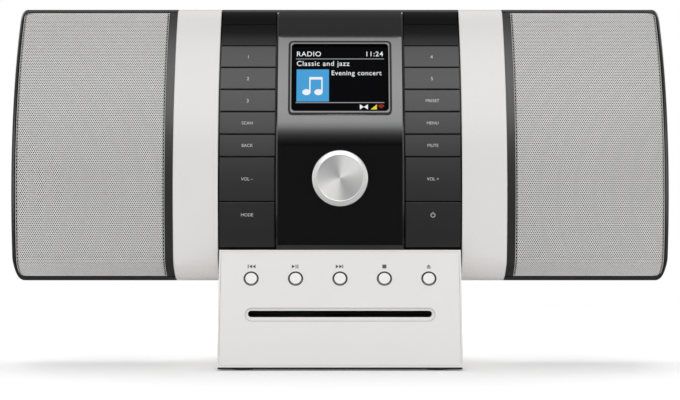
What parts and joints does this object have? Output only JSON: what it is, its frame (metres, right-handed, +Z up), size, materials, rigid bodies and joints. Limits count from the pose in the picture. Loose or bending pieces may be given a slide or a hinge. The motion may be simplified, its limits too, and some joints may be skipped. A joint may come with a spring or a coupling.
{
  "type": "mini hifi system",
  "caption": "Wide curved mini hifi system with a speaker at each end, a control column in the middle and a base with a disc slot.",
  "frame": {"origin": "on the floor under the middle of the object", "axes": "+X to the object's right seen from the front, +Y towards its back, +Z up"},
  "size_m": [0.4548, 0.148, 0.2515],
  "materials": {
    "white_plastic": "satin white moulded plastic",
    "housing_plastic": "satin black moulded plastic",
    "plate_plastic": "white moulded plastic",
    "black_plastic": "black moulded plastic",
    "gloss_black": "high-gloss black",
    "key_plastic": "satin black key caps",
    "grille_metal": "perforated steel, painted silver grey",
    "window_glass": "smoked clear plastic",
    "display": "dark colour display",
    "aluminium": "spun aluminium",
    "steel": "plated steel",
    "board": "green circuit board",
    "rubber": "black rubber",
    "ferrite": "ferrite and steel",
    "paper": "black coated paper",
    "inner_plastic": "black inner plastic",
    "button_plastic": "white button caps",
    "connector_metal": "nickel plated"
  },
  "bodies": {
    "housing": {"front_housing": "housing_plastic", "rear_housing": "housing_plastic", "case_screws": "steel", "fascia_frame": "black_plastic", "centre_panel": "gloss_black", "display_window": "window_glass", "display_module": "display", "switch_boards": "board", "encoder_body": "inner_plastic", "main_board": "board", "base_housing": "white_plastic", "base_front_plate": "plate_plastic", "base_bottom_plate": "black_plastic", "rubber_feet": "rubber", "disc_drive_chassis": "steel", "disc_drive_cover": "steel", "connector_panel": "black_plastic", "sockets": "inner_plastic", "antenna_connector": "connector_metal", "left_band": "white_plastic", "left_grille": "grille_metal", "left_speaker_frame": "gloss_black", "left_enclosure": "inner_plastic", "left_basket": "steel", "left_magnet": "ferrite", "right_band": "white_plastic", "right_grille": "grille_metal", "right_speaker_frame": "gloss_black", "right_enclosure": "inner_plastic", "right_basket": "steel", "right_magnet": "ferrite"},
    "key_mode": {"key_mode": "key_plastic"},
    "key_volume_down": {"key_volume_down": "key_plastic"},
    "key_back": {"key_back": "key_plastic"},
    "key_scan": {"key_scan": "key_plastic"},
    "key_3": {"key_3": "key_plastic"},
    "key_2": {"key_2": "key_plastic"},
    "key_1": {"key_1": "key_plastic"},
    "key_power": {"key_power": "key_plastic"},
    "key_volume_up": {"key_volume_up": "key_plastic"},
    "key_mute": {"key_mute": "key_plastic"},
    "key_menu": {"key_menu": "key_plastic"},
    "key_preset": {"key_preset": "key_plastic"},
    "key_5": {"key_5": "key_plastic"},
    "key_4": {"key_4": "key_plastic"},
    "button_previous": {"button_previous": "button_plastic"},
    "button_play": {"button_play": "button_plastic"},
    "button_next": {"button_next": "button_plastic"},
    "button_stop": {"button_stop": "button_plastic"},
    "button_eject": {"button_eject": "button_plastic"},
    "encoder_shaft": {"encoder_shaft": "steel"},
    "knob": {"knob": "aluminium"},
    "left_cone": {"left_cone": "paper"},
    "right_cone": {"right_cone": "paper"},
    "feed_roller": {"feed_roller": "rubber"},
    "disc_clamp": {"disc_clamp": "inner_plastic"},
    "traverse": {"traverse_deck": "steel"},
    "turntable": {"turntable": "inner_plastic"},
    "sled": {"optical_sled": "inner_plastic"},
    "lead_screw": {"lead_screw": "steel"}
  },
  "joints": [
    {"name": "key_mode_press", "type": "slide", "parent": "housing", "child": "key_mode", "axis": [0, 0.994, 0.1091], "range_m": [0, 0.0006], "stiffness_N_per_m": 1500},
    {"name": "key_volume_down_press", "type": "slide", "parent": "housing", "child": "key_volume_down", "axis": [0, 0.9983, -0.0576], "range_m": [0, 0.0006], "stiffness_N_per_m": 1500},
    {"name": "key_back_press", "type": "slide", "parent": "housing", "child": "key_back", "axis": [0, 0.9836, -0.1805], "range_m": [0, 0.0006], "stiffness_N_per_m": 1500},
    {"name": "key_scan_press", "type": "slide", "parent": "housing", "child": "key_scan", "axis": [0, 0.9647, -0.2635], "range_m": [0, 0.0006], "stiffness_N_per_m": 1500},
    {"name": "key_3_press", "type": "slide", "parent": "housing", "child": "key_3", "axis": [0, 0.9381, -0.3464], "range_m": [0, 0.0006], "stiffness_N_per_m": 1500},
    {"name": "key_2_press", "type": "slide", "parent": "housing", "child": "key_2", "axis": [0, 0.9031, -0.4293], "range_m": [0, 0.0006], "stiffness_N_per_m": 1500},
    {"name": "key_1_press", "type": "slide", "parent": "housing", "child": "key_1", "axis": [0, 0.8588, -0.5123], "range_m": [0, 0.0006], "stiffness_N_per_m": 1500},
    {"name": "key_power_press", "type": "slide", "parent": "housing", "child": "key_power", "axis": [0, 0.994, 0.1091], "range_m": [0, 0.0006], "stiffness_N_per_m": 1500},
    {"name": "key_volume_up_press", "type": "slide", "parent": "housing", "child": "key_volume_up", "axis": [0, 0.9983, -0.0576], "range_m": [0, 0.0006], "stiffness_N_per_m": 1500},
    {"name": "key_mute_press", "type": "slide", "parent": "housing", "child": "key_mute", "axis": [0, 0.9836, -0.1805], "range_m": [0, 0.0006], "stiffness_N_per_m": 1500},
    {"name": "key_menu_press", "type": "slide", "parent": "housing", "child": "key_menu", "axis": [0, 0.9647, -0.2635], "range_m": [0, 0.0006], "stiffness_N_per_m": 1500},
    {"name": "key_preset_press", "type": "slide", "parent": "housing", "child": "key_preset", "axis": [0, 0.9381, -0.3464], "range_m": [0, 0.0006], "stiffness_N_per_m": 1500},
    {"name": "key_5_press", "type": "slide", "parent": "housing", "child": "key_5", "axis": [0, 0.9031, -0.4293], "range_m": [0, 0.0006], "stiffness_N_per_m": 1500},
    {"name": "key_4_press", "type": "slide", "parent": "housing", "child": "key_4", "axis": [0, 0.8588, -0.5123], "range_m": [0, 0.0006], "stiffness_N_per_m": 1500},
    {"name": "button_previous_press", "type": "slide", "parent": "housing", "child": "button_previous", "axis": [0, 0.9258, -0.3779], "range_m": [0, 0.0008], "stiffness_N_per_m": 1200},
    {"name": "button_play_press", "type": "slide", "parent": "housing", "child": "button_play", "axis": [0, 0.9258, -0.3779], "range_m": [0, 0.0008], "stiffness_N_per_m": 1200},
    {"name": "button_next_press", "type": "slide", "parent": "housing", "child": "button_next", "axis": [0, 0.9258, -0.3779], "range_m": [0, 0.0008], "stiffness_N_per_m": 1200},
    {"name": "button_stop_press", "type": "slide", "parent": "housing", "child": "button_stop", "axis": [0, 0.9258, -0.3779], "range_m": [0, 0.0008], "stiffness_N_per_m": 1200},
    {"name": "button_eject_press", "type": "slide", "parent": "housing", "child": "button_eject", "axis": [0, 0.9258, -0.3779], "range_m": [0, 0.0008], "stiffness_N_per_m": 1200},
    {"name": "knob_spin", "type": "hinge", "parent": "housing", "child": "encoder_shaft", "pos_m": [0, -0.03567, 0.1296], "axis": [0, 0.9983, -0.0584], "continuous": true},
    {"name": "knob_push", "type": "slide", "parent": "encoder_shaft", "child": "knob", "axis": [0, 0.9983, -0.0584], "range_m": [0, 0.0005], "stiffness_N_per_m": 3000},
    {"name": "left_cone_travel", "type": "slide", "parent": "housing", "child": "left_cone", "axis": [0, 0.9862, -0.1658], "range_m": [-0.0012, 0.0012], "stiffness_N_per_m": 1500},
    {"name": "right_cone_travel", "type": "slide", "parent": "housing", "child": "right_cone", "axis": [0, 0.9862, -0.1658], "range_m": [-0.0012, 0.0012], "stiffness_N_per_m": 1500},
    {"name": "roller_spin", "type": "hinge", "parent": "housing", "child": "feed_roller", "pos_m": [0, -0.04, 0.0306], "axis": [1, 0, 0], "continuous": true},
    {"name": "clamp_spin", "type": "hinge", "parent": "housing", "child": "disc_clamp", "pos_m": [0, 0.004, 0.042], "axis": [0, 0, 1], "continuous": true},
    {"name": "traverse_lift", "type": "slide", "parent": "housing", "child": "traverse", "axis": [0, 0, 1], "range_m": [0, 0.005]},
    {"name": "turntable_spin", "type": "hinge", "parent": "traverse", "child": "turntable", "pos_m": [0, 0.004, 0.03], "axis": [0, 0, 1], "continuous": true},
    {"name": "sled_travel", "type": "slide", "parent": "traverse", "child": "sled", "axis": [1, 0, 0], "range_m": [0, 0.0305]},
    {"name": "screw_spin", "type": "hinge", "parent": "traverse", "child": "lead_screw", "pos_m": [0.03, -0.0165, 0.025], "axis": [1, 0, 0], "range_deg": [0, 3960]}
  ],
  "couplings": [
    {"joint": "screw_spin", "follows": "sled_travel", "rad_per_m": 2094.4}
  ]
}
